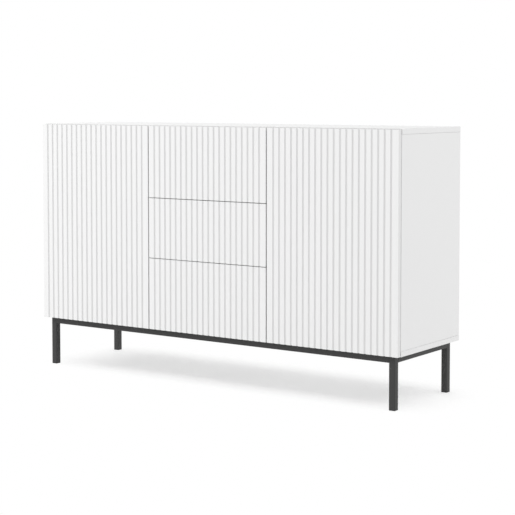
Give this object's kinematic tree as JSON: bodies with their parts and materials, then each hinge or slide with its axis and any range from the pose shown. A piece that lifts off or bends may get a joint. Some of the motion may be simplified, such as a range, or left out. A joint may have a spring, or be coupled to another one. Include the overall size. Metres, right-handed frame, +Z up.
{
  "type": "sideboard",
  "caption": "Handleless sideboard: fluted hinged cupboard doors beside stacked fluted drawers, a board carcass on a square steel tube frame, for storing tableware and linen.",
  "frame": {"origin": "on the floor, at the middle of the width and of the depth", "axes": "+X to the right as seen from the front, +Y towards the back, +Z up; the fronts face -Y"},
  "size_m": [1.5, 0.413, 0.889],
  "materials": {
    "white_foil": "matt white foil wrapped over milled MDF",
    "white_board": "matt white melamine on 18 mm chipboard, edges banded",
    "white_fibreboard": "white lacquered thin fibreboard",
    "grey_board": "white foil on 12 mm chipboard",
    "black_steel": "black fine-texture powder coat",
    "zinc_steel": "bright zinc plated",
    "nickel_steel": "nickel plated, satin",
    "zinc_alloy": "die-cast zinc alloy",
    "beech": "plain beech, fluted",
    "white_plastic": "moulded, matt",
    "grey_plastic": "moulded, matt",
    "black_plastic": "moulded, matt"
  },
  "bodies": {
    "carcass": {"top_board": "white_board", "bottom_board": "white_board", "side_left": "white_board", "side_right": "white_board", "partition_left": "white_board", "partition_right": "white_board", "back_panels": "white_fibreboard", "back_joiners": "white_plastic", "shelf_left": "white_board", "shelf_right": "white_board", "shelf_pins": "zinc_steel", "cam_locks": "zinc_alloy", "cam_bolts": "zinc_steel", "dowels": "beech", "leg_front_left": "black_steel", "leg_front_right": "black_steel", "leg_back_left": "black_steel", "leg_back_right": "black_steel", "rail_front": "black_steel", "rail_back": "black_steel", "rail_left": "black_steel", "rail_right": "black_steel", "frame_tabs": "black_steel", "frame_screws": "zinc_steel", "leg_glides": "black_plastic", "hinge_arms": "nickel_steel", "hinge_plates": "nickel_steel", "hinge_screws": "zinc_steel", "latch_housings": "white_plastic", "slide_outers": "zinc_steel"},
    "door_left": {"door_left": "white_foil", "hinge_cups_left": "nickel_steel"},
    "hinge_links_left": {"hinge_links_left": "nickel_steel"},
    "plunger_door_left": {"plunger_door_left": "grey_plastic"},
    "door_right": {"door_right": "white_foil", "hinge_cups_right": "nickel_steel"},
    "hinge_links_right": {"hinge_links_right": "nickel_steel"},
    "plunger_door_right": {"plunger_door_right": "grey_plastic"},
    "drawer_top": {"drawer_front_top": "white_foil", "drawer_sides_top": "grey_board", "drawer_ends_top": "grey_board", "drawer_base_top": "white_fibreboard", "slide_inner_top": "zinc_steel"},
    "slide_middle_top": {"slide_middle_top": "zinc_steel"},
    "plunger_top": {"plunger_top": "grey_plastic"},
    "drawer_middle": {"drawer_front_middle": "white_foil", "drawer_sides_middle": "grey_board", "drawer_ends_middle": "grey_board", "drawer_base_middle": "white_fibreboard", "slide_inner_middle": "zinc_steel"},
    "slide_middle_middle": {"slide_middle_middle": "zinc_steel"},
    "plunger_middle": {"plunger_middle": "grey_plastic"},
    "drawer_bottom": {"drawer_front_bottom": "white_foil", "drawer_sides_bottom": "grey_board", "drawer_ends_bottom": "grey_board", "drawer_base_bottom": "white_fibreboard", "slide_inner_bottom": "zinc_steel"},
    "slide_middle_bottom": {"slide_middle_bottom": "zinc_steel"},
    "plunger_bottom": {"plunger_bottom": "grey_plastic"}
  },
  "joints": [
    {"name": "door_left_swing", "type": "hinge", "parent": "carcass", "child": "door_left", "pos_m": [-0.7435, -0.2015, 0.53], "axis": [0, 0, -1], "range_deg": [0, 105]},
    {"name": "hinge_links_left_turn", "type": "hinge", "parent": "door_left", "child": "hinge_links_left", "pos_m": [-0.738, -0.1945, 0.53], "axis": [0, 0, -1], "range_deg": [-152, 0]},
    {"name": "plunger_door_left_travel", "type": "slide", "parent": "carcass", "child": "plunger_door_left", "axis": [0, -1, 0], "range_m": [0, 0.0141]},
    {"name": "door_right_swing", "type": "hinge", "parent": "carcass", "child": "door_right", "pos_m": [0.7435, -0.2015, 0.53], "axis": [0, 0, 1], "range_deg": [0, 105]},
    {"name": "hinge_links_right_turn", "type": "hinge", "parent": "door_right", "child": "hinge_links_right", "pos_m": [0.738, -0.1945, 0.53], "axis": [0, 0, 1], "range_deg": [-152, 0]},
    {"name": "plunger_door_right_travel", "type": "slide", "parent": "carcass", "child": "plunger_door_right", "axis": [0, -1, 0], "range_m": [0, 0.0141]},
    {"name": "drawer_top_slide", "type": "slide", "parent": "carcass", "child": "drawer_top", "axis": [0, -1, 0], "range_m": [0, 0.35]},
    {"name": "slide_middle_top_travel", "type": "slide", "parent": "carcass", "child": "slide_middle_top", "axis": [0, -1, 0], "range_m": [0, 0.175]},
    {"name": "plunger_top_travel", "type": "slide", "parent": "carcass", "child": "plunger_top", "axis": [0, -1, 0], "range_m": [0, 0.0141]},
    {"name": "drawer_middle_slide", "type": "slide", "parent": "carcass", "child": "drawer_middle", "axis": [0, -1, 0], "range_m": [0, 0.35]},
    {"name": "slide_middle_middle_travel", "type": "slide", "parent": "carcass", "child": "slide_middle_middle", "axis": [0, -1, 0], "range_m": [0, 0.175]},
    {"name": "plunger_middle_travel", "type": "slide", "parent": "carcass", "child": "plunger_middle", "axis": [0, -1, 0], "range_m": [0, 0.0141]},
    {"name": "drawer_bottom_slide", "type": "slide", "parent": "carcass", "child": "drawer_bottom", "axis": [0, -1, 0], "range_m": [0, 0.35]},
    {"name": "slide_middle_bottom_travel", "type": "slide", "parent": "carcass", "child": "slide_middle_bottom", "axis": [0, -1, 0], "range_m": [0, 0.175]},
    {"name": "plunger_bottom_travel", "type": "slide", "parent": "carcass", "child": "plunger_bottom", "axis": [0, -1, 0], "range_m": [0, 0.0141]}
  ],
  "couplings": [
    {"joint": "hinge_links_left_turn", "follows": "door_left_swing", "ratio": -1.44},
    {"joint": "plunger_door_left_travel", "follows": "door_left_swing", "m_per_rad": 0.007639},
    {"joint": "hinge_links_right_turn", "follows": "door_right_swing", "ratio": -1.44},
    {"joint": "plunger_door_right_travel", "follows": "door_right_swing", "m_per_rad": 0.007639},
    {"joint": "slide_middle_top_travel", "follows": "drawer_top_slide", "ratio": 0.5},
    {"joint": "plunger_top_travel", "follows": "drawer_top_slide", "ratio": 0.04},
    {"joint": "slide_middle_middle_travel", "follows": "drawer_middle_slide", "ratio": 0.5},
    {"joint": "plunger_middle_travel", "follows": "drawer_middle_slide", "ratio": 0.04},
    {"joint": "slide_middle_bottom_travel", "follows": "drawer_bottom_slide", "ratio": 0.5},
    {"joint": "plunger_bottom_travel", "follows": "drawer_bottom_slide", "ratio": 0.04}
  ]
}
